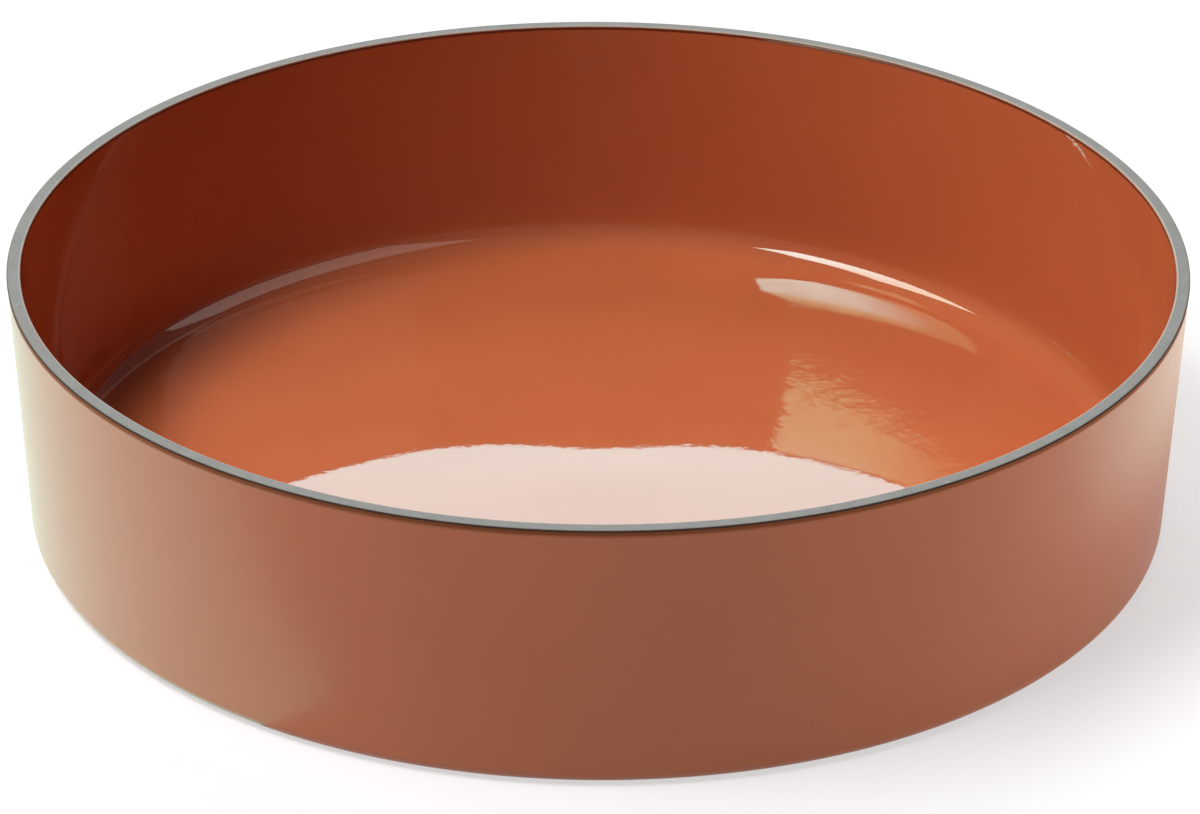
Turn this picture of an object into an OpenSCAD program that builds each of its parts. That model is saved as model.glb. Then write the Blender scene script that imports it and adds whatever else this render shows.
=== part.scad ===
// Round, straight-sided ceramic baking dish. A fired clay body with a bare rim and a bare
// foot ring carries three separate coats of glaze: one lines the cavity, one covers the
// outside of the wall, and one covers the underside within the foot ring.
// Millimetres, +Z up. The origin is at the middle of the foot ring, on the surface that the
// dish stands on. Every solid is a turned one, so each is drawn as half a section in X and Z.

/* [Dish] */
// Diameter of the dish at its rim, over the glaze
rim_d = 300; // [240:1:360]
// Height from the foot ring to the top of the rim
dish_h = 70; // [50:0.5:90]
// How far the outside of the wall leans out between the underside and the rim
wall_lean = 3; // [1:0.1:8]

/* [Clay body] */
// Width of the bare, flat top of the rim
rim_w = 2.6; // [2:0.1:7]
// Thickness of the clay wall where it meets the floor
wall_t = 3.2; // [2.5:0.1:8]
// Thickness of the clay floor
floor_t = 2.9; // [2.5:0.1:8]
// Radius of the clay where the wall turns into the underside
heel_r = 3; // [1.5:0.1:5]
// Radius of the clay where the floor of the cavity turns up into the wall
cavity_r = 8.5; // [6:0.5:18]

/* [Foot ring] */
// Height of the foot ring below the clay of the underside
foot_h = 0.9; // [0.6:0.1:3]
// Width of the foot ring
foot_w = 5; // [3:0.1:12]
// Flat strip of the underside between the rounded heel and the foot ring
heel_to_foot = 4; // [3:0.1:12]
// Rounding of the two lower edges of the foot ring
foot_edge_r = 0.4; // [0.2:0.05:0.7]

/* [Glaze] */
// Thickness of the glossy coat that lines the cavity
inner_glaze_t = 0.4; // [0.2:0.05:0.8]
// Thickness of the satin coat on the outside of the wall
outer_glaze_t = 0.35; // [0.2:0.05:0.7]
// Thickness of the satin coat on the underside, within the foot ring
base_glaze_t = 0.3; // [0.2:0.05:0.6]
// Strip of clay left bare beside the foot ring, where the glaze was wiped off
wiped_w = 1; // [0.5:0.1:2]

/* [Hidden] */

// Facets of a full turn, where a view has to draw one
$fn = 180;
// How far a cutting shape runs past what it cuts
overrun = 1;
// A leaning wall is drawn down to a point at this share of a rounding's radius, so that it
// runs into the arc and leaves no sliver beside it
into_arc_share = 0.99999;
// Each coat of glaze draws up into a roll along its edges, and this is the roll's radius as
// a share of the coat's thickness
roll_share = 1.2;

// Sizes that follow from those above
right_angle = 90;
underside_z = foot_h;
floor_z = foot_h + floor_t;
outer_angle = atan(wall_lean / (dish_h - underside_z));
clay_rim_r = rim_d / 2 - roll_r(outer_glaze_t) * (1 - tan(outer_angle));
cavity_rim_r = clay_rim_r - rim_w;
heel_corner = [clay_rim_r - wall_lean, underside_z];
cavity_corner = [heel_corner[0] + floor_t * tan(outer_angle) - wall_t, floor_z];
inner_angle = atan((cavity_rim_r - cavity_corner[0]) / (dish_h - floor_z));
foot_outer_r = round_centre(heel_corner, outer_angle, heel_r)[0] - heel_to_foot;
foot_inner_r = foot_outer_r - foot_w;
glaze_start_r = foot_outer_r + wiped_w + roll_r(outer_glaze_t);
base_glaze_r = foot_inner_r - wiped_w - roll_r(base_glaze_t);

// How far along each side of the corner a rounding of radius 1 begins, where a flat base
// meets a wall that leans out by this angle
function tangent_share(angle) = tan((right_angle - angle) / 2);

// Direction up the wall, and straight out of it
function up_wall(angle) = [sin(angle), cos(angle)];
function out_of_wall(angle) = [cos(angle), -sin(angle)];

// The corner of a form whose base and wall both lie this far outside another form's
function moved_out(corner, angle, by) = corner + by * [tangent_share(angle), -1];

// Centre of a rounding in that corner
function round_centre(corner, angle, radius) = corner + radius * [-tangent_share(angle), 1];

// Radius of the roll along the edge of a coat, and its centre on the clay of the wall, where
// the roll is level with the rim
function roll_r(thickness) = thickness * roll_share;
function roll_centre(rim, angle, thickness) = rim - roll_r(thickness) * [tan(angle), 1];

// The filled half section of a turned form: a flat base, a rounded corner and a wall that
// leans out. The outline starts at start_r on the base, and the top points close it.
module turned_form(corner, angle, radius, top, start_r = 0) {
    centre = round_centre(corner, angle, radius);
    start = [start_r, corner[1]] - centre;
    last = top[len(top) - 1] - centre;
    translate(centre) {
        polygon(concat(
            [start, [0, -radius], [0, 0], radius * into_arc_share * out_of_wall(angle)],
            [for (point = top) point - centre],
            [[start[0], last[1]]]
        ));
        circle(radius);
    }
}

// The wall's line carried past the rim, so that what is cut with it is cut cleanly
function past_rim(rim, angle) = [rim + overrun * up_wall(angle)];

// The outside of the clay, filled, up to the top points
module clay_outside(top) {
    turned_form(heel_corner, outer_angle, heel_r, top);
}

// The cavity in the clay, filled, up to the top points
module clay_cavity(top) {
    turned_form(cavity_corner, inner_angle, cavity_r, top);
}

// The foot ring, which reaches up into the clay floor
module foot_section() {
    inner_edge = [foot_inner_r + foot_edge_r, foot_edge_r];
    outer_edge = [foot_outer_r - foot_edge_r, foot_edge_r];
    top_z = underside_z + floor_t / 2;
    translate([inner_edge[0], 0]) square([foot_w - 2 * foot_edge_r, top_z]);
    translate([foot_inner_r, foot_edge_r]) square([foot_w, top_z - foot_edge_r]);
    translate(inner_edge) circle(foot_edge_r);
    translate(outer_edge) circle(foot_edge_r);
}

// The fired clay: floor, wall, bare rim and foot ring in one piece
module clay_body() {
    color("darkgray")
    rotate_extrude() {
        difference() {
            clay_outside([[clay_rim_r, dish_h]]);
            clay_cavity(past_rim([cavity_rim_r, dish_h], inner_angle));
        }
        foot_section();
    }
}

// The glossy coat over the floor and the inside of the wall, with a roll along the rim
module inner_glaze() {
    rim = [cavity_rim_r, dish_h];
    roll = roll_centre(rim, inner_angle, inner_glaze_t);
    through_coat = inner_glaze_t * out_of_wall(inner_angle);
    into_clay = overrun * out_of_wall(inner_angle);
    buried_corner = moved_out(cavity_corner, inner_angle, overrun);
    glazed_corner = moved_out(cavity_corner, inner_angle, -inner_glaze_t);
    color("chocolate")
    rotate_extrude()
    intersection() {
        clay_cavity(past_rim(rim, inner_angle));
        union() {
            difference() {
                turned_form(buried_corner, inner_angle, cavity_r + overrun,
                    [roll + into_clay, roll - through_coat]);
                turned_form(glazed_corner, inner_angle, cavity_r - inner_glaze_t,
                    past_rim(rim - through_coat, inner_angle));
            }
            translate(roll) circle(roll_r(inner_glaze_t));
        }
    }
}

// The satin coat over the outside of the wall and round the heel, with a roll along the rim
// and another beside the foot ring
module outer_glaze() {
    rim = [clay_rim_r, dish_h];
    roll = roll_centre(rim, outer_angle, outer_glaze_t);
    through_coat = outer_glaze_t * out_of_wall(outer_angle);
    glazed_corner = moved_out(heel_corner, outer_angle, outer_glaze_t);
    color("sienna")
    rotate_extrude()
    difference() {
        union() {
            turned_form(glazed_corner, outer_angle, heel_r + outer_glaze_t,
                [roll + through_coat, roll], glaze_start_r);
            translate(roll) circle(roll_r(outer_glaze_t));
            translate([glaze_start_r, underside_z]) circle(roll_r(outer_glaze_t));
        }
        clay_outside(past_rim(rim, outer_angle));
    }
}

// The satin coat on the underside within the foot ring, with a roll along its edge
module base_glaze() {
    color("sienna")
    rotate_extrude()
    intersection() {
        union() {
            translate([0, underside_z - base_glaze_t]) square([base_glaze_r, base_glaze_t]);
            translate([base_glaze_r, underside_z]) circle(roll_r(base_glaze_t));
        }
        square([foot_inner_r, underside_z]);
    }
}

clay_body();
inner_glaze();
outer_glaze();
base_glaze();
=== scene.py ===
"""Dresses a round ceramic baking dish: bare clay rim and foot, glossy lining, satin outside.

Every piece is a turned form, so each is drawn as half a section and turned about the dish's
upright axis. Lengths are in metres. The origin is at the middle of the foot ring, +Z is up.
"""

import logging
import math
from collections.abc import Sequence
from dataclasses import dataclass
from enum import Enum

import bpy
import numpy as np
from mathutils import Matrix, Vector


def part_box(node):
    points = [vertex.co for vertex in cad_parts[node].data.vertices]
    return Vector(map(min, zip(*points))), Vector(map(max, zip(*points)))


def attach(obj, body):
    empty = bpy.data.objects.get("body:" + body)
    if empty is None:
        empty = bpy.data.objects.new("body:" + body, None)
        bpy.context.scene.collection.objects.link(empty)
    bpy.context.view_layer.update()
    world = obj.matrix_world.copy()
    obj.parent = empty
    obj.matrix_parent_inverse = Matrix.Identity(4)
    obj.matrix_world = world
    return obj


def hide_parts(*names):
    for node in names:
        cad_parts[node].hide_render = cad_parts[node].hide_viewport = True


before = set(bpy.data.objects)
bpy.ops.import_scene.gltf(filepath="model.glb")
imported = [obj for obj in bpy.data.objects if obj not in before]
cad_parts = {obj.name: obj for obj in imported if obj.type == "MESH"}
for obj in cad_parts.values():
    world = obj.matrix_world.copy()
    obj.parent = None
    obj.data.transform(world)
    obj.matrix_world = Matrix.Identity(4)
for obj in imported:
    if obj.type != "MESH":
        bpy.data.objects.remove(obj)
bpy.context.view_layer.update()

log = logging.getLogger("baking_dish")

MM = 0.001
BODY = "root"
WHITE = (1.0, 1.0, 1.0)
BLACK = (0.0, 0.0, 0.0)
NOISE_MIDDLE = 0.5

Colour = tuple[float, float, float]
Point = tuple[float, float]
Socket = bpy.types.NodeSocket
Feed = Socket | float | Sequence[float]


class Slot(Enum):
    """The finishes that the dish's record names."""

    BARE_CLAY = "bare_clay"
    GLOSS_GLAZE = "gloss_glaze"
    SATIN_GLAZE = "satin_glaze"


# Form of the dish


@dataclass(frozen=True)
class DishForm:
    """Sizes of the dish, and the places that follow from them."""

    rim_radius: float
    height: float
    wall_lean: float = 3 * MM
    rim_width: float = 2.6 * MM
    wall_thickness: float = 3.2 * MM
    floor_thickness: float = 2.9 * MM
    heel_radius: float = 3 * MM
    cavity_radius: float = 8.5 * MM
    foot_height: float = 0.9 * MM
    foot_width: float = 5 * MM
    heel_to_foot: float = 4 * MM
    foot_edge_radius: float = 0.4 * MM
    inner_glaze: float = 0.4 * MM
    outer_glaze: float = 0.35 * MM
    base_glaze: float = 0.3 * MM
    wiped_width: float = 1 * MM
    roll_share: float = 1.2

    def roll_radius(self, thickness: float) -> float:
        """Radius of the roll into which a coat of this thickness draws up along its edge."""
        return thickness * self.roll_share

    @property
    def underside_z(self) -> float:
        """Height of the clay's underside beside the foot ring."""
        return self.foot_height

    @property
    def floor_z(self) -> float:
        """Height of the clay's floor in the cavity."""
        return self.foot_height + self.floor_thickness

    @property
    def outer_angle(self) -> float:
        """How far the outside of the wall leans out from upright, in radians."""
        return math.atan(self.wall_lean / (self.height - self.underside_z))

    @property
    def clay_rim_radius(self) -> float:
        """Radius of the clay's rim on the outside."""
        roll = self.roll_radius(self.outer_glaze)
        return self.rim_radius - roll * (1 - math.tan(self.outer_angle))

    @property
    def cavity_rim_radius(self) -> float:
        """Radius of the clay's rim on the inside."""
        return self.clay_rim_radius - self.rim_width

    @property
    def heel_corner(self) -> Point:
        """Corner that the clay's wall and underside would meet in without their rounding."""
        return (self.clay_rim_radius - self.wall_lean, self.underside_z)

    @property
    def cavity_corner(self) -> Point:
        """Corner that the cavity's wall and floor would meet in without their rounding."""
        leaned = self.floor_thickness * math.tan(self.outer_angle)
        return (self.heel_corner[0] + leaned - self.wall_thickness, self.floor_z)

    @property
    def inner_angle(self) -> float:
        """How far the inside of the wall leans out from upright, in radians."""
        run = self.cavity_rim_radius - self.cavity_corner[0]
        return math.atan(run / (self.height - self.floor_z))

    @property
    def heel_centre(self) -> Point:
        """Centre of the rounding between the wall and the underside."""
        return round_centre(self.heel_corner, self.outer_angle, self.heel_radius)

    @property
    def cavity_centre(self) -> Point:
        """Centre of the rounding between the cavity's floor and wall."""
        return round_centre(self.cavity_corner, self.inner_angle, self.cavity_radius)

    @property
    def foot_outer_radius(self) -> float:
        """Radius of the foot ring on the outside."""
        return self.heel_centre[0] - self.heel_to_foot

    @property
    def foot_inner_radius(self) -> float:
        """Radius of the foot ring on the inside."""
        return self.foot_outer_radius - self.foot_width

    @property
    def glaze_start_radius(self) -> float:
        """Radius of the roll beside the foot ring where the outer coat begins."""
        roll = self.roll_radius(self.outer_glaze)
        return self.foot_outer_radius + self.wiped_width + roll

    @property
    def base_glaze_radius(self) -> float:
        """Radius of the roll along the edge of the coat within the foot ring."""
        return self.foot_inner_radius - self.wiped_width - self.roll_radius(self.base_glaze)


def round_centre(corner: Point, angle: float, radius: float) -> Point:
    """Finds the centre of a rounding between a flat base and a wall that leans out.

    Args:
        corner: where base and wall would meet, as radius and height.
        angle: lean of the wall from upright, in radians.
        radius: radius of the rounding.

    Returns:
        The centre, as radius and height.
    """
    inward = radius * math.tan((math.pi / 2 - angle) / 2)
    return (corner[0] - inward, corner[1] + radius)


def roll_centre(rim: Point, angle: float, radius: float) -> Point:
    """Finds the centre of a roll of glaze that is level with the rim.

    Args:
        rim: the clay's edge at the rim, as radius and height.
        angle: lean of the wall from upright, in radians.
        radius: radius of the roll.

    Returns:
        The centre, on the face of the clay's wall.
    """
    return (rim[0] - radius * math.tan(angle), rim[1] - radius)


# Turned meshes


class Section:
    """Half section of a turned piece: points of radius and height, joined in order."""

    least_arc_points = 6

    def __init__(self, start: Point, step: float, arc_step: float = 0.12 * MM) -> None:
        """Starts the section at a point.

        Args:
            start: first point, as radius and height.
            step: longest stretch between points on a straight run.
            arc_step: longest stretch between points on an arc.
        """
        self.points: list[Point] = [start]
        self.step = step
        self.arc_step = arc_step

    def to(self, radius: float, height: float) -> "Section":
        """Runs straight to a point, with points at even steps on the way.

        Args:
            radius: the point's distance from the axis.
            height: the point's height.

        Returns:
            The section itself.
        """
        last = self.points[-1]
        length = math.hypot(radius - last[0], height - last[1])
        count = max(1, math.ceil(length / self.step))
        for index in range(1, count + 1):
            share = index / count
            across = last[0] + (radius - last[0]) * share
            up = last[1] + (height - last[1]) * share
            self.points.append((across, up))
        return self

    def arc(self, centre: Point, radius: float, start: float, end: float) -> "Section":
        """Runs straight to an arc and then round it.

        Args:
            centre: the arc's centre, as radius and height.
            radius: the arc's radius.
            start: direction of the arc's first point, in radians from straight outward.
            end: direction of its last point.

        Returns:
            The section itself.
        """
        across, up = centre
        self.to(across + radius * math.cos(start), up + radius * math.sin(start))
        length = abs(end - start) * radius
        count = max(self.least_arc_points, math.ceil(length / self.arc_step))
        for index in range(1, count + 1):
            angle = start + (end - start) * index / count
            self.points.append((across + radius * math.cos(angle), up + radius * math.sin(angle)))
        return self


@dataclass(frozen=True)
class FloorMound:
    """Low mound that the middle of the floor keeps from firing."""

    form: DishForm
    rise: float = 0.38 * MM
    spread: float = 17 * MM

    def moved(self, radius: np.ndarray, height: np.ndarray, turn: np.ndarray) -> np.ndarray:
        """Lifts points of the flat floor onto the mound, and leaves the underside as it is.

        Args:
            radius: distance of each point from the axis.
            height: height of each point.
            turn: direction of each point about the axis, in radians.

        Returns:
            One row of X, Y and Z for each point.
        """
        form = self.form
        above = np.clip((height - form.underside_z) / form.floor_thickness, 0, 1)
        mound = self.rise * np.exp(-((radius / self.spread) ** 2) / 2) * above
        return np.stack([radius * np.cos(turn), radius * np.sin(turn), height + mound], axis=-1)


@dataclass(frozen=True)
class Lathe:
    """Turns half sections into closed meshes."""

    mound: FloorMound
    segments: int = 640
    least_radius: float = 1e-9
    crease: float = math.radians(35)

    def turn(self, name: str, section: Section) -> bpy.types.Object:
        """Makes a solid from a half section.

        Args:
            name: name of the new object.
            section: its half section, either a closed loop or one that ends on the axis.

        Returns:
            The new object, in the scene.
        """
        points = np.array(section.points)
        on_axis = points[:, 0] < self.least_radius
        loop = not (on_axis[0] and on_axis[-1])
        angles = np.arange(self.segments) * (2 * math.pi / self.segments)
        vertices: list[np.ndarray] = []
        rings: list[np.ndarray] = []
        count = 0
        for (radius, height), pole in zip(points, on_axis):
            spread = angles[:1] if pole else angles
            ones = np.ones_like(spread)
            vertices.append(self.mound.moved(radius * ones, height * ones, spread))
            ring = np.arange(count, count + len(spread))
            rings.append(np.resize(ring, self.segments))
            count += len(spread)
        pairs = list(zip(rings, rings[1:]))
        if loop:
            pairs.append((rings[-1], rings[0]))
        faces = [face for low, high in pairs for face in self.strip(low, high)]
        mesh = bpy.data.meshes.new(name)
        mesh.from_pydata(np.concatenate(vertices).tolist(), [], faces)
        mesh.polygons.foreach_set("use_smooth", [True] * len(mesh.polygons))
        mesh.set_sharp_from_angle(angle=self.crease)
        mesh.validate()
        piece = bpy.data.objects.new(name, mesh)
        bpy.context.scene.collection.objects.link(piece)
        return piece

    def strip(self, low: np.ndarray, high: np.ndarray) -> list[tuple[int, ...]]:
        """Lists the faces between two rings.

        Args:
            low: vertex numbers of the ring that comes first in the section.
            high: those of the next ring.

        Returns:
            Four-sided faces, or triangles where one ring is a point on the axis.
        """
        after_low = np.roll(low, -1)
        after_high = np.roll(high, -1)
        if low[0] == low[1]:
            return list(zip(low.tolist(), after_high.tolist(), high.tolist()))
        if high[0] == high[1]:
            return list(zip(low.tolist(), after_low.tolist(), high.tolist()))
        corners = (low, after_low, after_high, high)
        return list(zip(*(corner.tolist() for corner in corners)))


# Node trees


class NodeSheet:
    """A node tree being filled, with short ways to add nodes and to join them."""

    def __init__(self, tree: bpy.types.NodeTree) -> None:
        """Keeps the tree that nodes are added to."""
        self.tree = tree

    def add(self, kind: str, **settings: object) -> bpy.types.Node:
        """Adds a node.

        Args:
            kind: the node's type.
            **settings: the node's own properties, by name.

        Returns:
            The node.
        """
        node = self.tree.nodes.new(kind)
        for name, value in settings.items():
            setattr(node, name, value)
        return node

    def feed(self, target: Socket, value: Feed) -> None:
        """Joins a socket to an input, or sets the input to a plain value.

        Args:
            target: the input.
            value: the socket or the value.
        """
        if isinstance(value, bpy.types.NodeSocket):
            self.tree.links.new(value, target)
        elif isinstance(value, Sequence) and target.type == "RGBA":
            target.default_value = (*value, 1.0)
        else:
            target.default_value = value

    def math(self, operation: str, first: Feed, second: Feed = 0.0, third: Feed = 0.0) -> Socket:
        """Adds a sum of up to three values.

        Args:
            operation: the sum's name in the node.
            first: first value.
            second: second value, where the sum has one.
            third: third value, where the sum has one.

        Returns:
            The result.
        """
        node = self.add("ShaderNodeMath", operation=operation)
        for target, value in zip(node.inputs, (first, second, third)):
            self.feed(target, value)
        return node.outputs[0]

    def ramp(self, value: Feed, start: Feed, end: Feed) -> Socket:
        """Rises smoothly from 0 to 1 as a value goes from one end of a range to the other.

        Args:
            value: the value.
            start: the value that gives 0.
            end: the value that gives 1.

        Returns:
            The result.
        """
        node = self.add("ShaderNodeMapRange", interpolation_type="SMOOTHSTEP")
        self.feed(node.inputs["Value"], value)
        self.feed(node.inputs["From Min"], start)
        self.feed(node.inputs["From Max"], end)
        return node.outputs["Result"]

    def mix(self, share: Feed, first: Feed, second: Feed) -> Socket:
        """Mixes two colours.

        Args:
            share: how much of the second colour there is, from 0 to 1.
            first: first colour.
            second: second colour.

        Returns:
            The mixed colour.
        """
        node = self.add("ShaderNodeMix", data_type="RGBA")
        self.feed(node.inputs["Factor"], share)
        colours = [socket for socket in node.inputs if socket.type == "RGBA"]
        self.feed(colours[0], first)
        self.feed(colours[1], second)
        return next(socket for socket in node.outputs if socket.type == "RGBA")

    def split(self, vector: Socket) -> bpy.types.Node:
        """Splits a vector into its X, Y and Z."""
        node = self.add("ShaderNodeSeparateXYZ")
        self.feed(node.inputs[0], vector)
        return node

    def both(self, first: Socket, second: Socket) -> Socket:
        """Adds up what two shaders give.

        Args:
            first: first shader.
            second: second shader.

        Returns:
            Their sum.
        """
        node = self.add("ShaderNodeAddShader")
        self.feed(node.inputs[0], first)
        self.feed(node.inputs[1], second)
        return node.outputs[0]

    def noise(self, place: Feed, scale: Feed, detail: float, roughness: float) -> Socket:
        """Adds a noise texture whose value runs from 0 to 1.

        Args:
            place: where the texture is read.
            scale: waves to the metre.
            detail: how many finer layers are added.
            roughness: how strong each finer layer is.

        Returns:
            The noise.
        """
        node = self.add("ShaderNodeTexNoise", noise_dimensions="3D")
        self.feed(node.inputs["Vector"], place)
        self.feed(node.inputs["Scale"], scale)
        self.feed(node.inputs["Detail"], detail)
        self.feed(node.inputs["Roughness"], roughness)
        return node.outputs[0]


def empty_sheet(owner: bpy.types.Material | bpy.types.World) -> NodeSheet:
    """Clears the nodes of a material or world.

    Args:
        owner: the material or world.

    Returns:
        Its nodes, ready to be filled.
    """
    owner.use_nodes = True
    owner.node_tree.nodes.clear()
    return NodeSheet(owner.node_tree)


class Effect:
    """A shader node group that several finishes place with their own values."""

    name = ""
    output = ""
    inputs: dict[str, float] = {}

    def fill(self, sheet: NodeSheet, place: Socket, given: dict[str, Socket]) -> Socket:
        """Adds the group's own nodes.

        Args:
            sheet: the group's nodes.
            place: where the effect is read.
            given: the group's inputs, by name.

        Returns:
            What the group puts out.
        """
        raise NotImplementedError

    def group(self) -> bpy.types.NodeTree:
        """Builds the group once, and finds it again after that.

        Returns:
            The group's node tree.
        """
        found = bpy.data.node_groups.get(self.name)
        if found:
            return found
        tree = bpy.data.node_groups.new(self.name, "ShaderNodeTree")
        tree.interface.new_socket("Place", in_out="INPUT", socket_type="NodeSocketVector")
        for name, value in self.inputs.items():
            socket = tree.interface.new_socket(name, in_out="INPUT", socket_type="NodeSocketFloat")
            socket.default_value = value
        tree.interface.new_socket(self.output, in_out="OUTPUT", socket_type="NodeSocketFloat")
        sheet = NodeSheet(tree)
        entry = sheet.add("NodeGroupInput")
        given = {name: entry.outputs[name] for name in self.inputs}
        result = self.fill(sheet, entry.outputs["Place"], given)
        sheet.feed(sheet.add("NodeGroupOutput").inputs[self.output], result)
        return tree

    def put(self, sheet: NodeSheet, place: Socket, **values: float) -> Socket:
        """Places the group in a material.

        Args:
            sheet: the material's nodes.
            place: where the effect is read.
            **values: values of its inputs, by name, with _ for a space.

        Returns:
            The group's output.
        """
        node = sheet.add("ShaderNodeGroup", node_tree=self.group())
        sheet.feed(node.inputs["Place"], place)
        for name, value in values.items():
            sheet.feed(node.inputs[name.replace("_", " ").capitalize()], value)
        return node.outputs[self.output]


class Mottle(Effect):
    """Cloudy change from one place to the next, from 0 to 1."""

    name = "mottle"
    output = "Value"
    inputs = {"Scale": 30.0, "Contrast": 2.0}

    def fill(self, sheet: NodeSheet, place: Socket, given: dict[str, Socket]) -> Socket:
        """Stretches a noise about its middle.

        Args:
            sheet: the group's nodes.
            place: where the effect is read.
            given: the group's inputs, by name.

        Returns:
            The stretched noise.
        """
        cloud = sheet.noise(place, given["Scale"], detail=4.0, roughness=0.55)
        middle = sheet.math("SUBTRACT", cloud, NOISE_MIDDLE)
        node = sheet.add("ShaderNodeMath", operation="MULTIPLY_ADD", use_clamp=True)
        sheet.feed(node.inputs[0], middle)
        sheet.feed(node.inputs[1], given["Contrast"])
        sheet.feed(node.inputs[2], NOISE_MIDDLE)
        return node.outputs[0]


class Speckle(Effect):
    """Small round specks, each in its own cell, some cells left empty."""

    name = "speckle"
    output = "Mask"
    inputs = {"Cells": 400.0, "Size": 0.2, "Share": 0.3}

    def fill(self, sheet: NodeSheet, place: Socket, given: dict[str, Socket]) -> Socket:
        """Keeps the middle of the cells whose own random value is low enough.

        Args:
            sheet: the group's nodes.
            place: where the effect is read.
            given: the group's inputs, by name.

        Returns:
            1 on a speck, else 0.
        """
        cells = sheet.add("ShaderNodeTexVoronoi", feature="F1")
        sheet.feed(cells.inputs["Vector"], place)
        sheet.feed(cells.inputs["Scale"], given["Cells"])
        colour = sheet.add("ShaderNodeSeparateColor")
        sheet.feed(colour.inputs[0], cells.outputs["Color"])
        kept = sheet.math("LESS_THAN", colour.outputs[0], given["Share"])
        own_size = sheet.math("MULTIPLY", given["Size"], colour.outputs[1])
        half = sheet.math("MULTIPLY", own_size, 0.5)
        spot = sheet.ramp(cells.outputs["Distance"], own_size, half)
        return sheet.math("MULTIPLY", spot, kept)


class EdgeBand(Effect):
    """Band that runs round the dish between two heights, with a softly ragged border."""

    name = "edge_band"
    output = "Mask"
    inputs = {"Bottom": 0.0, "Top": 1.0, "Softness": 0.0001, "Ragged": 0.0001}

    def fill(self, sheet: NodeSheet, place: Socket, given: dict[str, Socket]) -> Socket:
        """Shifts the height by a noise and keeps what lies between the two borders.

        Args:
            sheet: the group's nodes.
            place: where the effect is read.
            given: the group's inputs, by name.

        Returns:
            1 in the band, else 0.
        """
        cloud = sheet.noise(place, scale=260.0, detail=3.0, roughness=0.6)
        middle = sheet.math("SUBTRACT", cloud, NOISE_MIDDLE)
        shift = sheet.math("MULTIPLY", middle, given["Ragged"])
        height = sheet.math("ADD", sheet.split(place).outputs["Z"], shift)
        below = sheet.math("SUBTRACT", given["Bottom"], given["Softness"])
        above = sheet.math("ADD", given["Top"], given["Softness"])
        rise = sheet.ramp(height, below, given["Bottom"])
        fall = sheet.ramp(height, above, given["Top"])
        return sheet.math("MULTIPLY", rise, fall)


class SurfaceWaves(Effect):
    """Slight unevenness that a fired surface keeps: long waves with finer ones on them."""

    name = "surface_waves"
    output = "Height"
    inputs = {"Scale": 300.0, "Long share": 0.5}
    times_as_long = 4.0

    def fill(self, sheet: NodeSheet, place: Socket, given: dict[str, Socket]) -> Socket:
        """Adds longer waves to the fine ones.

        Args:
            sheet: the group's nodes.
            place: where the effect is read.
            given: the group's inputs, by name.

        Returns:
            The height.
        """
        fine = sheet.noise(place, given["Scale"], detail=1.0, roughness=0.4)
        long_scale = sheet.math("DIVIDE", given["Scale"], self.times_as_long)
        long = sheet.noise(place, long_scale, detail=0.0, roughness=0.5)
        return sheet.math("MULTIPLY_ADD", long, given["Long share"], fine)


# Finishes


@dataclass(frozen=True)
class Band:
    """Band of colour that runs round the dish, given from the height of the edge it follows."""

    bottom: float
    top: float
    softness: float
    ragged: float

    def put(self, sheet: NodeSheet, place: Socket, edge: float) -> Socket:
        """Places the band in a material.

        Args:
            sheet: the material's nodes.
            place: where the band is read.
            edge: height of the edge.

        Returns:
            1 in the band, else 0.
        """
        return EdgeBand().put(
            sheet, place, bottom=edge + self.bottom, top=edge + self.top,
            softness=self.softness, ragged=self.ragged,
        )


class Finish:
    """A material with a name and a slot of the record."""

    name = ""
    slot = Slot.BARE_CLAY

    def dress(self, sheet: NodeSheet, place: Socket, shader: bpy.types.Node) -> None:
        """Adds the finish's nodes.

        Args:
            sheet: the material's nodes.
            place: where the finish is read.
            shader: the shader that the nodes feed.
        """
        raise NotImplementedError

    def material(self) -> bpy.types.Material:
        """Builds the material.

        Returns:
            The material, with its nodes.
        """
        material = bpy.data.materials.new(self.name)
        sheet = empty_sheet(material)
        shader = sheet.add("ShaderNodeBsdfPrincipled")
        result = sheet.add("ShaderNodeOutputMaterial")
        sheet.feed(result.inputs["Surface"], shader.outputs["BSDF"])
        place = sheet.add("ShaderNodeTexCoord").outputs["Object"]
        self.dress(sheet, place, shader)
        return material


def bump(sheet: NodeSheet, height: Socket, depth: float) -> Socket:
    """Turns a height from 0 to 1 into a normal.

    Args:
        sheet: the material's nodes.
        height: the height.
        depth: how far apart 0 and 1 lie.

    Returns:
        The normal.
    """
    node = sheet.add("ShaderNodeBump")
    sheet.feed(node.inputs["Height"], height)
    node.inputs["Strength"].default_value = 1.0
    node.inputs["Distance"].default_value = depth
    return node.outputs["Normal"]


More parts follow.
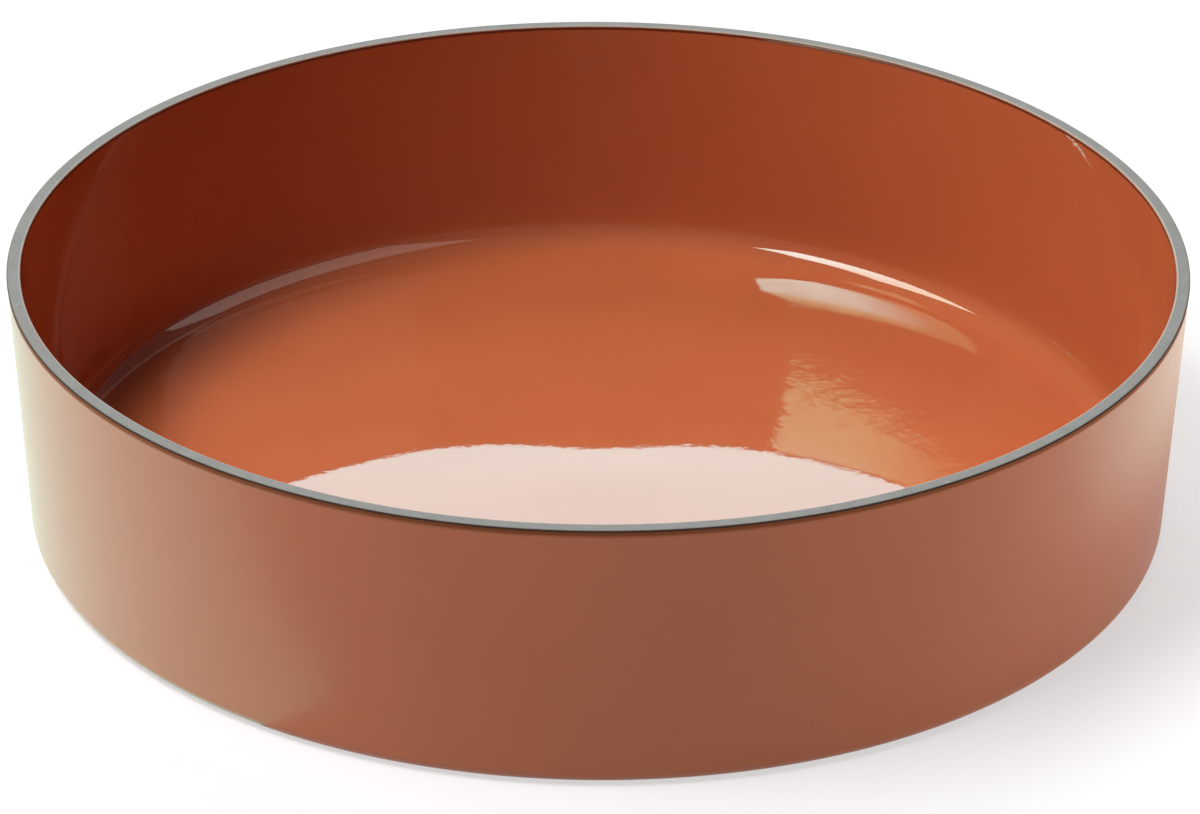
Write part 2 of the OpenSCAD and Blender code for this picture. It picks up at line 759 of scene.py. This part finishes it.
@dataclass(frozen=True)
class BareClay(Finish):
    """Fired grey clay: dry, finely grained, with pale and dark grit in it."""

    name: str = "bare_clay"
    slot: Slot = Slot.BARE_CLAY
    body: Colour = (0.252, 0.246, 0.236)
    cloud: Colour = (0.218, 0.213, 0.204)
    pale_grit: Colour = (0.42, 0.41, 0.38)
    dark_grit: Colour = (0.10, 0.095, 0.085)
    foot_stain: Colour = (0.30, 0.26, 0.21)
    roughness: float = 0.82
    foot_band: Band = Band(bottom=-MM, top=0.3 * MM, softness=0.3 * MM, ragged=0.5 * MM)

    def dress(self, sheet: NodeSheet, place: Socket, shader: bpy.types.Node) -> None:
        """Clouds the clay, strews grit in it and stains the foot that the dish stands on.

        Args:
            sheet: the material's nodes.
            place: where the finish is read.
            shader: the shader that the nodes feed.
        """
        clouds = Mottle().put(sheet, place, scale=180.0, contrast=2.2)
        colour = sheet.mix(clouds, self.body, self.cloud)
        foot = self.foot_band.put(sheet, place, edge=0.0)
        colour = sheet.mix(foot, colour, self.foot_stain)
        dark = Speckle().put(sheet, place, cells=900.0, size=0.30, share=0.14)
        colour = sheet.mix(dark, colour, self.dark_grit)
        pale = Speckle().put(sheet, place, cells=520.0, size=0.26, share=0.08)
        colour = sheet.mix(pale, colour, self.pale_grit)
        sheet.feed(shader.inputs["Base Color"], colour)
        shader.inputs["Roughness"].default_value = self.roughness
        grain = SurfaceWaves().put(sheet, place, scale=2600.0, long_share=0.7)
        sheet.feed(shader.inputs["Normal"], bump(sheet, grain, depth=0.05 * MM))


@dataclass(frozen=True)
class GlossGlaze(Finish):
    """Glossy terracotta glaze, thin and pale along its lip with a painted highlight there, and
    darker just below where it pools, partly painted shade.
    """

    lip_height: float
    name: str = "gloss_glaze"
    slot: Slot = Slot.GLOSS_GLAZE
    body: Colour = (0.497, 0.131, 0.051)
    cloud: Colour = (0.462, 0.119, 0.046)
    # Pale lip: thin glaze, and a painted highlight along the rounded lip.
    lip: Colour = (0.36, 0.28, 0.23)
    # Dark line just below the lip: pooled glaze, partly painted shade.
    pooled: Colour = (0.150, 0.040, 0.018)
    roughness: float = 0.025
    lip_roughness: float = 0.5
    pool_and_shade_band: Band = Band(bottom=-MM, top=-0.5 * MM, softness=0.3 * MM, ragged=0.5 * MM)
    lip_band: Band = Band(bottom=-0.2 * MM, top=MM, softness=0.12 * MM, ragged=0.12 * MM)

    def dress(self, sheet: NodeSheet, place: Socket, shader: bpy.types.Node) -> None:
        """Clouds the glaze and draws the two fine lines along its lip: the pale lip, thin glaze
        with a painted highlight, and the dark line below it, pooled glaze with painted shade.

        Args:
            sheet: the material's nodes.
            place: where the finish is read.
            shader: the shader that the nodes feed.
        """
        clouds = Mottle().put(sheet, place, scale=24.0, contrast=2.0)
        colour = sheet.mix(clouds, self.body, self.cloud)
        # Dark line below the lip: pooled glaze and painted shade.
        pooled = self.pool_and_shade_band.put(sheet, place, self.lip_height)
        colour = sheet.mix(pooled, colour, self.pooled)
        # Pale lip, thin glaze with a painted highlight; the lip is also rougher.
        lip = self.lip_band.put(sheet, place, self.lip_height)
        colour = sheet.mix(lip, colour, self.lip)
        sheet.feed(shader.inputs["Base Color"], colour)
        matter = self.lip_roughness - self.roughness
        roughness = sheet.math("MULTIPLY_ADD", lip, matter, self.roughness)
        sheet.feed(shader.inputs["Roughness"], roughness)
        waves = SurfaceWaves().put(sheet, place, scale=550.0, long_share=1.4)
        sheet.feed(shader.inputs["Normal"], bump(sheet, waves, depth=0.005 * MM))


@dataclass(frozen=True)
class SatinGlaze(Finish):
    """Satin terracotta glaze, drawn thin and dark along its edges; under the rim the dark is partly
    painted shade.
    """

    lip_height: float
    start_height: float
    name: str = "satin_glaze"
    slot: Slot = Slot.SATIN_GLAZE
    body: Colour = (0.405, 0.110, 0.040)
    cloud: Colour = (0.375, 0.100, 0.036)
    # Near-black line right under the rim: the glaze's dark edge, partly painted shade; also its
    # edge by the foot.
    lip: Colour = (0.030, 0.013, 0.006)
    # Painted shade in a soft band below the rim.
    painted_rim_shade: Colour = (0.195, 0.050, 0.014)
    crown: Colour = (0.190, 0.180, 0.168)
    roughness: float = 0.36
    shoulder_roughness: float = 0.9
    painted_rim_shade_band: Band = Band(bottom=-1.1 * MM, top=MM, softness=1.1 * MM, ragged=0.3 * MM)
    lip_band: Band = Band(bottom=-0.45 * MM, top=MM, softness=0.15 * MM, ragged=0.2 * MM)
    crown_band: Band = Band(bottom=-0.05 * MM, top=MM, softness=0.05 * MM, ragged=0.03 * MM)
    start_band: Band = Band(bottom=-2 * MM, top=-0.35 * MM, softness=0.1 * MM, ragged=0.1 * MM)

    def dress(self, sheet: NodeSheet, place: Socket, shader: bpy.types.Node) -> None:
        """Clouds the glaze, paints shade in a band below the rim, darkens its edges at the rim and
        the foot, and bares its ground crown.

        Args:
            sheet: the material's nodes.
            place: where the finish is read.
            shader: the shader that the nodes feed.
        """
        clouds = Mottle().put(sheet, place, scale=18.0, contrast=2.0)
        colour = sheet.mix(clouds, self.body, self.cloud)
        # Painted shade in a soft band below the rim, where the glaze is also rougher.
        painted_rim_shade = self.painted_rim_shade_band.put(sheet, place, self.lip_height)
        colour = sheet.mix(painted_rim_shade, colour, self.painted_rim_shade)
        # Near-black line right under the rim: dark glaze edge, partly painted shade.
        lip = self.lip_band.put(sheet, place, self.lip_height)
        colour = sheet.mix(lip, colour, self.lip)
        crown = self.crown_band.put(sheet, place, self.lip_height)
        colour = sheet.mix(crown, colour, self.crown)
        start = self.start_band.put(sheet, place, self.start_height)
        colour = sheet.mix(start, colour, self.lip)
        sheet.feed(shader.inputs["Base Color"], colour)
        matter = self.shoulder_roughness - self.roughness
        roughness = sheet.math("MULTIPLY_ADD", painted_rim_shade, matter, self.roughness)
        sheet.feed(shader.inputs["Roughness"], roughness)
        waves = SurfaceWaves().put(sheet, place, scale=700.0, long_share=1.0)
        sheet.feed(shader.inputs["Normal"], bump(sheet, waves, depth=0.012 * MM))


# Pieces of the dish


@dataclass(frozen=True)
class DishPiece:
    """A turned piece of the dish that stands for a CAD node of the same name."""

    form: DishForm
    lathe: Lathe
    finish: Finish
    name: str = ""
    step: float = 2 * MM

    def section(self) -> Section:
        """Draws the piece's half section."""
        raise NotImplementedError

    def build(self) -> bpy.types.Object:
        """Turns the piece, dresses it and ties it to the frame.

        Returns:
            The new object.
        """
        piece = self.lathe.turn(f"{self.name}_turned", self.section())
        piece.data.materials.append(self.finish.material())
        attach(piece, BODY)
        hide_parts(self.name)
        log.info("%s: %d faces", piece.name, len(piece.data.polygons))
        return piece


@dataclass(frozen=True)
class ClayBody(DishPiece):
    """Fired clay: floor, wall, bare rim, rounded heel and foot ring."""

    name: str = "clay_body"

    def section(self) -> Section:
        """Draws the cavity, the rim, the outside and the foot ring.

        Returns:
            The section, from the axis on the floor to the axis on the underside.
        """
        form = self.form
        edge = form.foot_edge_radius
        section = Section((0.0, form.floor_z), self.step)
        section.arc(form.cavity_centre, form.cavity_radius, -math.pi / 2, -form.inner_angle)
        section.to(form.cavity_rim_radius, form.height)
        section.to(form.clay_rim_radius, form.height)
        section.arc(form.heel_centre, form.heel_radius, -form.outer_angle, -math.pi / 2)
        section.to(form.foot_outer_radius, form.underside_z)
        section.arc((form.foot_outer_radius - edge, edge), edge, 0.0, -math.pi / 2)
        section.arc((form.foot_inner_radius + edge, edge), edge, -math.pi / 2, -math.pi)
        section.to(form.foot_inner_radius, form.underside_z)
        section.to(0.0, form.underside_z)
        return section


@dataclass(frozen=True)
class InnerGlaze(DishPiece):
    """Glossy coat over the floor and the inside of the wall."""

    name: str = "inner_glaze"
    step: float = 1.5 * MM
    ease_start: float = math.radians(12)
    ease_length: float = 2.7 * MM
    ease_step: float = 0.4 * MM

    def ease(self, section: Section, top: Point) -> None:
        """Draws the corner, where the glaze pools and so runs into the wall more and more slowly.

        Args:
            section: the section, which is at the axis.
            top: where the glazed wall meets its roll.
        """
        form = self.form
        lean = math.tan(form.inner_angle)
        radius = form.cavity_radius - form.inner_glaze
        centre_z = form.cavity_centre[1]
        start_z = centre_z - radius * math.sin(self.ease_start)
        pooled = (math.tan(self.ease_start) - lean) * self.ease_length

        def face(height: float) -> float:
            """Finds the glazed wall's radius at a height."""
            decay = math.exp((start_z - height) / self.ease_length)
            return top[0] - (top[1] - height) * lean - pooled * decay

        centre = (face(start_z) - radius * math.cos(self.ease_start), centre_z)
        section.arc(centre, radius, -math.pi / 2, -self.ease_start)
        count = math.ceil((top[1] - start_z) / self.ease_step)
        for index in range(1, count):
            height = start_z + (top[1] - start_z) * index / count
            section.points.append((face(height), height))

    def section(self) -> Section:
        """Draws the glazed face up to its roll, and the face on the clay back down.

        Returns:
            The section, from the axis on the glaze to the axis on the clay.
        """
        form = self.form
        coat = form.inner_glaze
        angle = form.inner_angle
        rim = (form.cavity_rim_radius, form.height)
        roll = form.roll_radius(coat)
        centre = roll_centre(rim, angle, roll)
        meets_coat = math.acos(coat / roll)
        into_cavity = math.pi - angle
        first = into_cavity + meets_coat
        top = (centre[0] + roll * math.cos(first), centre[1] + roll * math.sin(first))
        section = Section((0.0, form.floor_z + coat), self.step)
        self.ease(section, top)
        section.arc(centre, roll, first, into_cavity - math.pi / 2)
        section.arc(form.cavity_centre, form.cavity_radius, -angle, -math.pi / 2)
        section.to(0.0, form.floor_z)
        return section


@dataclass(frozen=True)
class OuterGlaze(DishPiece):
    """Satin coat over the outside of the wall and round the heel."""

    name: str = "outer_glaze"

    def section(self) -> Section:
        """Draws the roll at the rim, the glazed face, the roll by the foot, and the clay's face.

        Returns:
            The section, as a closed loop.
        """
        form = self.form
        coat = form.outer_glaze
        angle = form.outer_angle
        rim = (form.clay_rim_radius, form.height)
        roll = form.roll_radius(coat)
        centre = roll_centre(rim, angle, roll)
        meets_coat = math.acos(coat / roll)
        start = (form.glaze_start_radius, form.underside_z)
        section = Section((centre[0] + roll * math.sin(angle), form.height), self.step)
        section.arc(centre, roll, math.pi / 2 - angle, -angle - meets_coat)
        section.arc(form.heel_centre, form.heel_radius + coat, -angle, -math.pi / 2)
        section.arc(start, roll, meets_coat - math.pi / 2, -math.pi)
        section.to(form.heel_centre[0], form.underside_z)
        section.arc(form.heel_centre, form.heel_radius, -math.pi / 2, -angle)
        section.points.pop(0)
        return section


@dataclass(frozen=True)
class BaseGlaze(DishPiece):
    """Satin coat on the underside, within the foot ring."""

    name: str = "base_glaze"

    def section(self) -> Section:
        """Draws the face on the clay, the roll along the edge and the glazed face.

        Returns:
            The section, from the axis on the clay to the axis on the glaze.
        """
        form = self.form
        coat = form.base_glaze
        roll = form.roll_radius(coat)
        meets_coat = math.asin(coat / roll)
        section = Section((0.0, form.underside_z), self.step)
        section.arc((form.base_glaze_radius, form.underside_z), roll, 0.0, meets_coat - math.pi)
        section.to(0.0, form.underside_z - coat)
        return section


# Studio


def area_lamp(name: str, sides: Point, radiance: float, colour: Colour) -> bpy.types.Object:
    """Makes a flat lamp that the camera doesn't see.

    Args:
        name: the lamp's name.
        sides: its two sides.
        radiance: how bright its face is.
        colour: its colour.

    Returns:
        The lamp, at the origin.
    """
    data = bpy.data.lights.new(name, "AREA")
    data.shape = "RECTANGLE"
    data.size, data.size_y = sides
    data.energy = radiance * math.pi * sides[0] * sides[1]
    data.color = colour
    lamp = bpy.data.objects.new(name, data)
    lamp.visible_camera = False
    bpy.context.scene.collection.objects.link(lamp)
    return lamp


@dataclass(frozen=True)
class Lamp:
    """A flat, soft lamp that faces the dish, given in degrees of the dish's sky."""

    name: str
    azimuth: float
    elevation: float
    wide: float
    tall: float
    radiance: float
    colour: Colour = WHITE
    distance: float = 6.0
    lights: bool = True
    mirrored: bool = True

    def place(self, aim: Vector) -> bpy.types.Object:
        """Puts the lamp in the scene.

        Args:
            aim: the point that the lamp faces.

        Returns:
            The lamp.
        """
        azimuth = math.radians(self.azimuth)
        elevation = math.radians(self.elevation)
        flat = math.cos(elevation)
        toward = Vector((math.cos(azimuth) * flat, math.sin(azimuth) * flat, math.sin(elevation)))
        halves = (math.tan(math.radians(angle) / 2) for angle in (self.wide, self.tall))
        sides = tuple(2 * self.distance * half for half in halves)
        lamp = area_lamp(self.name, sides, self.radiance, self.colour)
        lamp.location = aim + toward * self.distance
        lamp.rotation_mode = "QUATERNION"
        lamp.rotation_quaternion = toward.to_track_quat("Z", "Y")
        lamp.visible_diffuse = self.lights
        lamp.visible_glossy = self.mirrored
        return lamp


@dataclass(frozen=True)
class SkyPatch:
    """A softbox as the gloss mirrors it, given by where it shows in the dish's sky.

    Angles are in degrees. Those about the upright axis are counted from straight left, and
    grow towards the front. The front edge leans further out with height, and the top edge
    falls off towards the front. The low lights show along the lower edge, and give way to
    the others between low_until and full_above, which are counted from that edge.
    """

    back: float
    front: float
    low: float
    top: float
    back_light: Colour
    front_light: Colour
    low_back_light: Colour
    low_front_light: Colour
    fade_back: float
    fade_front: float
    front_lean: float
    lean_height: float
    top_bend: float
    top_fall: float
    back_softness: float = 2.5
    front_softness: float = 0.5
    low_softness: float = 0.25
    top_softness: float = 1.0
    low_until: float = 0.5
    full_above: float = 2.0

    def paint(self, sheet: NodeSheet, turn: Socket, height: Socket) -> Socket:
        """Adds the patch to the world's nodes.

        Args:
            sheet: the world's nodes.
            turn: angle about the upright axis of the direction that is seen.
            height: its angle above the horizon.

        Returns:
            The patch's light, black outside the patch.
        """
        above = sheet.math("SUBTRACT", height, self.low)
        leaned = sheet.math("MINIMUM", sheet.math("MAXIMUM", above, 0.0), self.lean_height)
        past_front = sheet.math("MULTIPLY_ADD", leaned, -self.front_lean, turn)
        past_bend = sheet.math("MAXIMUM", sheet.math("SUBTRACT", turn, self.top_bend), 0.0)
        past_top = sheet.math("MULTIPLY_ADD", past_bend, self.top_fall, height)
        masks = (
            self.rise(sheet, turn, self.back, self.back_softness),
            self.rise(sheet, past_front, self.front, -self.front_softness),
            self.rise(sheet, height, self.low, self.low_softness),
            self.rise(sheet, past_top, self.top, -self.top_softness),
        )
        mask = masks[0]
        for other in masks[1:]:
            mask = sheet.math("MULTIPLY", mask, other)
        share = sheet.ramp(turn, self.fade_back, self.fade_front)
        low_light = sheet.mix(share, self.low_back_light, self.low_front_light)
        high_light = sheet.mix(share, self.back_light, self.front_light)
        light = sheet.mix(sheet.ramp(above, self.low_until, self.full_above), low_light, high_light)
        return sheet.mix(mask, BLACK, light)

    def rise(self, sheet: NodeSheet, value: Socket, edge: float, softness: float) -> Socket:
        """Rises from 0 to 1 across an edge.

        Args:
            sheet: the world's nodes.
            value: the value that crosses the edge.
            edge: where the edge is.
            softness: half the width of the rise, negative for a fall.

        Returns:
            The result.
        """
        return sheet.ramp(value, edge - softness, edge + softness)


@dataclass(frozen=True)
class FloorGlow:
    """Brightly lit stretch of floor beside the dish, which the satin outside mirrors."""

    name: str
    centre: Point
    wide: float
    deep: float
    radiance: float
    colour: Colour
    height: float = MM

    def place(self) -> bpy.types.Object:
        """Lays the stretch on the floor, facing up.

        Returns:
            The lamp.
        """
        lamp = area_lamp(self.name, (self.wide, self.deep), self.radiance, self.colour)
        lamp.location = (*self.centre, self.height)
        lamp.rotation_euler = (math.pi, 0.0, 0.0)
        lamp.visible_diffuse = False
        return lamp


@dataclass(frozen=True)
class PhotoCamera:
    """The camera that took the photograph, in the dish's frame, with its angles in degrees."""

    location: tuple[float, float, float] = (0.0, -1.0611, 0.5717)
    pitch: float = 27.2943
    roll: float = 0.3823
    yaw: float = 0.0345
    focal_pixels: float = 4600.0
    image_width: float = 1200.0
    sensor: float = 36.0
    nearest: float = 0.01
    farthest: float = 100.0

    def place(self) -> bpy.types.Object:
        """Puts the camera in the scene and makes it the one that renders.

        Returns:
            The camera.
        """
        pitch, roll, yaw = (math.radians(angle) for angle in (self.pitch, self.roll, self.yaw))
        flat = math.cos(pitch)
        ahead = Vector((math.sin(yaw) * flat, math.cos(yaw) * flat, -math.sin(pitch)))
        level_right = Vector((math.cos(yaw), -math.sin(yaw), 0.0))
        level_up = level_right.cross(ahead)
        right = level_right * math.cos(roll) + level_up * math.sin(roll)
        up = level_up * math.cos(roll) - level_right * math.sin(roll)
        turned = Matrix((right, up, -ahead)).transposed().to_4x4()
        data = bpy.data.cameras.new("photo_camera")
        data.sensor_width = self.sensor
        data.lens = self.focal_pixels / self.image_width * self.sensor
        data.clip_start = self.nearest
        data.clip_end = self.farthest
        camera = bpy.data.objects.new("photo_camera", data)
        camera.matrix_world = Matrix.Translation(self.location) @ turned
        bpy.context.scene.collection.objects.link(camera)
        bpy.context.scene.camera = camera
        return camera


@dataclass(frozen=True)
class Studio:
    """Pale floor, even surroundings and soft lamps."""

    floor_half: float = 12.0
    floor_shown: Colour = (0.95, 0.95, 0.95)
    floor_lit: Colour = (0.42, 0.42, 0.42)
    floor_even: float = 0.6
    dim_share: float = 0.15
    dim_start: float = 0.03
    dim_end: float = 0.16
    world_shown: float = 1.0
    world_lit: float = 0.03
    ceiling_mirrored: float = 0.18
    backdrop_top: float = 6.0
    ceiling_start: float = 20.0
    second_mirroring: float = 2.0
    half_a_mirroring: float = 0.5
    lamps: tuple[Lamp, ...] = (
        Lamp("key", azimuth=203, elevation=61.2, wide=30, tall=16, radiance=12.5, mirrored=False),
        Lamp("top", azimuth=180, elevation=68, wide=40, tall=18, radiance=6.6, mirrored=False),
        Lamp("back", azimuth=90, elevation=40, wide=40, tall=34, radiance=4.0, mirrored=False),
        Lamp("left", azimuth=185, elevation=9.5, wide=40, tall=18, radiance=2.3, mirrored=False),
        Lamp("card_left", azimuth=200, elevation=0, wide=40, tall=3.4, radiance=20.5,
             distance=1.0, mirrored=False),
        Lamp("card_right", azimuth=-17, elevation=0, wide=60, tall=3.4, radiance=31,
             distance=1.0, mirrored=False),
        Lamp("back_seen", azimuth=90, elevation=34, wide=26, tall=24, radiance=5.1,
             colour=(0.50, 0.97, 1.0), lights=False, distance=5.5),
        Lamp("right_seen", azimuth=-13, elevation=42, wide=58, tall=34, radiance=1.4,
             colour=(1.0, 0.92, 0.84), lights=False, distance=5.5),
    )
    mirrored_once: SkyPatch = SkyPatch(
        back=-20, front=39.5, low=45, top=61.5, back_light=(9.5, 11.4, 9.4),
        front_light=(13, 17, 16), low_back_light=(9.5, 11.4, 9.4), low_front_light=(13, 17, 16),
        fade_back=-15, fade_front=35, front_lean=0.75, lean_height=12, top_bend=24, top_fall=0.33,
    )
    mirrored_twice: SkyPatch = SkyPatch(
        back=-4, front=45.8, low=32.5, top=56, back_light=(8, 11, 6),
        front_light=(34, 72, 66), low_back_light=(8, 11, 5), low_front_light=(21, 37, 21),
        fade_back=2, fade_front=37, front_lean=4.5, lean_height=1.5, top_bend=26, top_fall=0.6,
    )
    glows: tuple[FloorGlow, ...] = (
        FloorGlow("glow_left", centre=(-0.29, 0.08), wide=0.42, deep=0.46, radiance=1.4,
                  colour=(0.22, 0.95, 0.78)),
        FloorGlow("glow_right", centre=(0.36, 0.17), wide=0.34, deep=0.46, radiance=0.85,
                  colour=(0.65, 1.0, 0.85)),
        FloorGlow("glow_right_front", centre=(0.36, 0.12), wide=0.38, deep=0.52, radiance=0.3,
                  colour=(0.80, 1.0, 0.70), height=1.5 * MM),
    )

    def build(self, form: DishForm) -> None:
        """Makes the floor, the world and the lamps.

        Args:
            form: the dish, whose middle the lamps face.
        """
        self.floor()
        self.world()
        aim = Vector((0.0, 0.0, form.height / 2))
        for lamp in self.lamps:
            lamp.place(aim)
        for glow in self.glows:
            glow.place()
        bpy.context.scene.view_settings.view_transform = "Standard"

    def seen(self, sheet: NodeSheet) -> Socket:
        """Tells the rays that see the surroundings from those that only carry light.

        Args:
            sheet: the nodes of the floor or the world.

        Returns:
            1 for camera, mirrored and transmitted rays, else 0.
        """
        path = sheet.add("ShaderNodeLightPath")
        direct = sheet.math("MAXIMUM", path.outputs["Is Camera Ray"], path.outputs["Is Glossy Ray"])
        return sheet.math("MAXIMUM", direct, path.outputs["Is Transmission Ray"])

    def floor(self) -> bpy.types.Object:
        """Lays the floor that the dish stands on, which the glaze mirrors dimmer on the right.

        Returns:
            The floor.
        """
        name = "studio_floor"
        half = self.floor_half
        outline = ((-half, -half), (half, -half), (half, half), (-half, half))
        mesh = bpy.data.meshes.new(name)
        mesh.from_pydata([(x, y, 0.0) for x, y in outline], [], [(0, 1, 2, 3)])
        floor = bpy.data.objects.new(name, mesh)
        bpy.context.scene.collection.objects.link(floor)
        material = bpy.data.materials.new(name)
        sheet = empty_sheet(material)
        seen = self.seen(sheet)
        shader = sheet.add("ShaderNodeBsdfDiffuse")
        shown = tuple(channel * (1 - self.floor_even) for channel in self.floor_shown)
        sheet.feed(shader.inputs["Color"], sheet.mix(seen, self.floor_lit, shown))
        even = sheet.add("ShaderNodeEmission")
        sheet.feed(even.inputs["Strength"], sheet.math("MULTIPLY", seen, self.floor_even))
        split = sheet.split(sheet.add("ShaderNodeTexCoord").outputs["Object"])
        # Painted shade: rays that the glaze mirrors see the floor darker right of the dish.
        right = sheet.ramp(split.outputs["X"], self.dim_start, self.dim_end)
        mirrored = sheet.add("ShaderNodeLightPath").outputs["Is Glossy Ray"]
        dim = sheet.math("MULTIPLY", sheet.math("MULTIPLY", right, mirrored), self.dim_share)
        black = sheet.add("ShaderNodeBsdfDiffuse")
        sheet.feed(black.inputs["Color"], BLACK)
        dimmed = sheet.add("ShaderNodeMixShader")
        sheet.feed(dimmed.inputs[0], dim)
        sheet.feed(dimmed.inputs[1], sheet.both(shader.outputs[0], even.outputs[0]))
        sheet.feed(dimmed.inputs[2], black.outputs[0])
        result = sheet.add("ShaderNodeOutputMaterial")
        sheet.feed(result.inputs["Surface"], dimmed.outputs[0])
        mesh.materials.append(material)
        return floor

    def world(self) -> None:
        """Makes surroundings that look white, light the dish weakly and hold the softbox."""
        world = bpy.data.worlds.new("studio")
        bpy.context.scene.world = world
        sheet = empty_sheet(world)
        split = sheet.split(sheet.add("ShaderNodeTexCoord").outputs["Generated"])
        angles = (self.backdrop_top, self.ceiling_start)
        heights = (math.sin(math.radians(angle)) for angle in angles)
        ceiling = sheet.ramp(split.outputs["Z"], *heights)
        fall = self.ceiling_mirrored - self.world_shown
        mirrored = sheet.math("MULTIPLY_ADD", ceiling, fall, self.world_shown)
        path = sheet.add("ShaderNodeLightPath")
        shown = sheet.math("MAXIMUM", path.outputs["Is Camera Ray"], mirrored)
        gain = sheet.math("SUBTRACT", shown, self.world_lit)
        even = sheet.add("ShaderNodeBackground")
        strength = sheet.math("MULTIPLY_ADD", self.seen(sheet), gain, self.world_lit)
        sheet.feed(even.inputs["Strength"], strength)
        softbox = sheet.add("ShaderNodeBackground")
        sheet.feed(softbox.inputs["Color"], self.softbox(sheet, split, path))
        sheet.feed(softbox.inputs["Strength"], path.outputs["Is Glossy Ray"])
        result = sheet.add("ShaderNodeOutputWorld")
        sheet.feed(result.inputs["Surface"], sheet.both(even.outputs[0], softbox.outputs[0]))

    def softbox(self, sheet: NodeSheet, split: bpy.types.Node, path: bpy.types.Node) -> Socket:
        """Paints the softbox that the gloss mirrors.

        The photograph's highlights are compressed, so the softbox is shown weaker where one
        mirroring brings it than where two do, the floor's and then the wall's. Rays that are
        mirrored more often don't see it.

        Args:
            sheet: the world's nodes.
            split: the direction that is seen, split into its parts.
            path: what is known about the ray.

        Returns:
            The softbox's light.
        """
        across = sheet.math("MULTIPLY", split.outputs["X"], -1.0)
        along = sheet.math("MULTIPLY", split.outputs["Y"], -1.0)
        turn = sheet.math("DEGREES", sheet.math("ARCTAN2", along, across))
        height = sheet.math("DEGREES", sheet.math("ARCSINE", split.outputs["Z"]))
        once = self.mirrored_once.paint(sheet, turn, height)
        twice = self.mirrored_twice.paint(sheet, turn, height)
        depth = path.outputs["Glossy Depth"]
        again = sheet.math("COMPARE", depth, self.second_mirroring, self.half_a_mirroring)
        light = sheet.mix(again, once, twice)
        last = self.second_mirroring + self.half_a_mirroring
        return sheet.mix(sheet.math("GREATER_THAN", depth, last), light, BLACK)


def main() -> None:
    """Builds the dish, the studio and the camera."""
    logging.basicConfig(level=logging.INFO, format="%(name)s: %(message)s")
    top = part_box("clay_body")[1]
    form = DishForm(rim_radius=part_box("outer_glaze")[1].x, height=top.z)
    lathe = Lathe(FloorMound(form))
    clay = BareClay()
    gloss = GlossGlaze(lip_height=form.height)
    satin = SatinGlaze(lip_height=form.height, start_height=form.underside_z)
    pieces = (
        ClayBody(form, lathe, clay),
        InnerGlaze(form, lathe, gloss),
        OuterGlaze(form, lathe, satin),
        BaseGlaze(form, lathe, satin),
    )
    for piece in pieces:
        piece.build()
    Studio().build(form)
    PhotoCamera().place()


if __name__ == "__main__":
    main()
